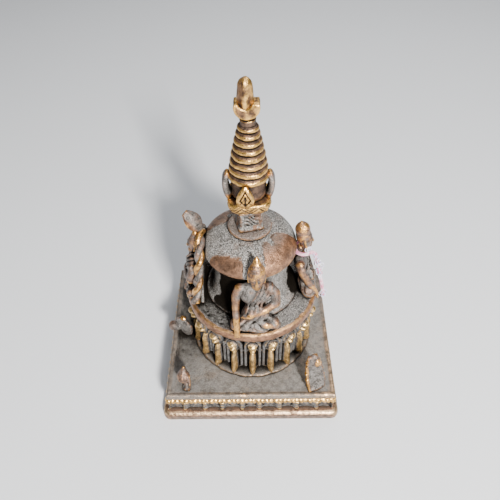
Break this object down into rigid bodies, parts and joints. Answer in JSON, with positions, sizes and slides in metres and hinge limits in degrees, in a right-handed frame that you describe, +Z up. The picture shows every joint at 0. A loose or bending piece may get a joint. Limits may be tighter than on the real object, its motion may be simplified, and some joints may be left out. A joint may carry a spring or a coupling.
{
  "type": "miniature cast brass votive stupa",
  "caption": "Small cast brass stupa: square plinth, lotus pedestal, vase dome with seated figures on four sides and one arched backplate, ringed spire with crescent and bud finial.",
  "frame": {"origin": "centre of the plinth's footprint, on the surface it stands on", "axes": "+Z up, the front figure faces -Y, +X to the right seen from the front"},
  "size_m": [0.081, 0.081, 0.146],
  "materials": {
    "polished_brass": "cast, rubbed bright on the high points, dark in the hollows",
    "copper_brown_bronze": "aged brown and grey patina, grainy, worn to copper on the edges",
    "cotton_thread": "pale pink and white thread"
  },
  "bodies": {
    "root": {"backplate_leaf": "polished_brass", "backplate_panel": "copper_brown_bronze", "backplate_rope": "polished_brass", "deck_leaf_back_left": "polished_brass", "deck_leaf_back_right": "polished_brass", "deck_leaf_front_left": "polished_brass", "deck_leaf_front_right": "polished_brass", "deck_leaf_left": "polished_brass", "dome_collar": "copper_brown_bronze", "figure_back_body": "polished_brass", "figure_back_head": "polished_brass", "figure_front_body": "polished_brass", "figure_front_head": "polished_brass", "figure_left_body": "polished_brass", "figure_left_head": "polished_brass", "figure_right_body": "polished_brass", "figure_right_head": "polished_brass", "finial_bud": "polished_brass", "finial_crescent": "polished_brass", "harmika_box": "copper_brown_bronze", "harmika_cornice": "polished_brass", "leaf_back": "polished_brass", "leaf_front": "polished_brass", "leaf_left": "polished_brass", "leaf_right": "polished_brass", "lotus_foot": "copper_brown_bronze", "lotus_lower_petals": "polished_brass", "lotus_upper_petals": "polished_brass", "platform_disc": "copper_brown_bronze", "plinth_deck": "copper_brown_bronze", "plinth_foot_back": "copper_brown_bronze", "plinth_foot_front": "copper_brown_bronze", "plinth_foot_left": "copper_brown_bronze", "plinth_foot_right": "copper_brown_bronze", "plinth_frieze_back": "copper_brown_bronze", "plinth_frieze_front": "copper_brown_bronze", "plinth_frieze_left": "copper_brown_bronze", "plinth_frieze_right": "copper_brown_bronze", "plinth_moulding_back": "copper_brown_bronze", "plinth_moulding_front": "copper_brown_bronze", "plinth_moulding_left": "copper_brown_bronze", "plinth_moulding_right": "copper_brown_bronze", "spire": "polished_brass", "thread": "cotton_thread", "vase_body": "copper_brown_bronze", "vase_shoulder": "polished_brass"}
  },
  "joints": []
}
